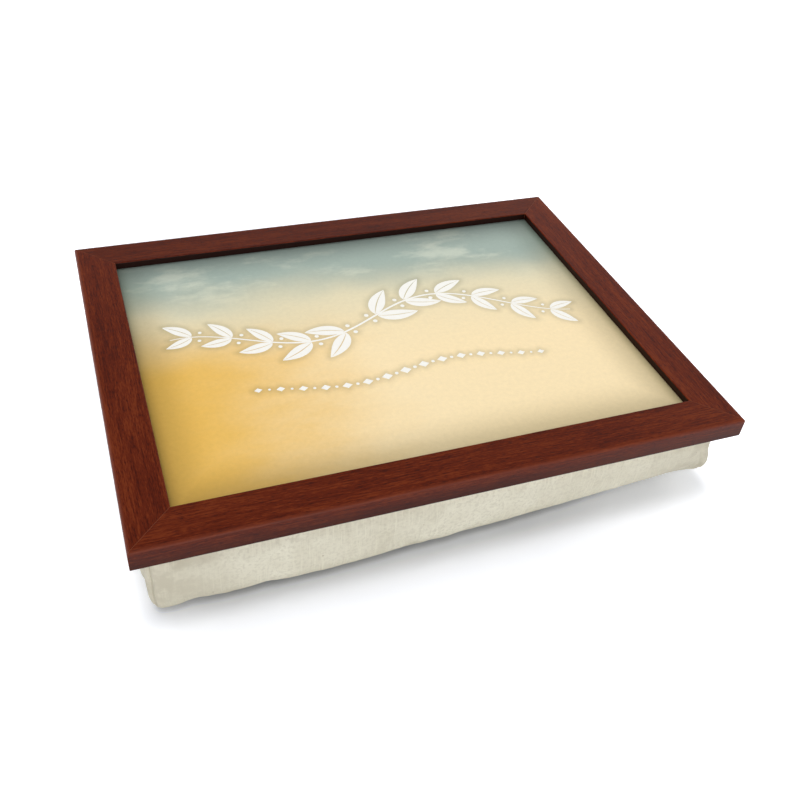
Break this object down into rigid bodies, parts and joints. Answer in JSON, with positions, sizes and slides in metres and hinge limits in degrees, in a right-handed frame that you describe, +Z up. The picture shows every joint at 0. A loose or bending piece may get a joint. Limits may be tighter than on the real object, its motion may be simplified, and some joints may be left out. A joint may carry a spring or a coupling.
{
  "type": "lap tray",
  "caption": "Lap tray: a mitred wooden frame round a wipe-clean printed surface, on a bead-filled cotton bag that pulls off its hook-and-loop strips.",
  "frame": {"origin": "on the surface that the bag stands on, below the middle of the tray", "axes": "+X along the tray's long side, to the user's right; +Y away from the user; +Z up"},
  "size_m": [0.44, 0.34, 0.0753],
  "materials": {
    "moulding": "mahogany stain under satin lacquer",
    "fixings": "zinc-plated",
    "print": "printed laminate, satin clear coat",
    "core": "bare fibreboard",
    "backing": "plain laminate",
    "hook_tape": "nylon hooks on woven tape",
    "loop_tape": "brushed nylon loops on woven tape",
    "calico": "unbleached plain-weave cotton",
    "beads": "expanded polystyrene beads"
  },
  "bodies": {
    "bag": {"bag_top_panel": "calico", "bag_front_band": "calico", "bag_right_band": "calico", "bag_back_band": "calico", "bag_left_band": "calico", "bag_bottom_panel": "calico", "bead_fill": "beads", "loop_strip_front": "loop_tape", "loop_strip_back": "loop_tape", "loop_strip_left": "loop_tape", "loop_strip_right": "loop_tape"},
    "tray": {"front_rail": "moulding", "back_rail": "moulding", "left_rail": "moulding", "right_rail": "moulding", "corner_wedges": "fixings", "print_laminate": "print", "core_board": "core", "backing_laminate": "backing", "frame_points": "fixings", "hook_strip_front": "hook_tape", "hook_strip_back": "hook_tape", "hook_strip_left": "hook_tape", "hook_strip_right": "hook_tape", "strip_staples": "fixings"}
  },
  "joints": [
    {"name": "tray_release", "type": "slide", "parent": "bag", "child": "tray", "axis": [0, 0, 1], "range_m": [0, 0.08]}
  ]
}
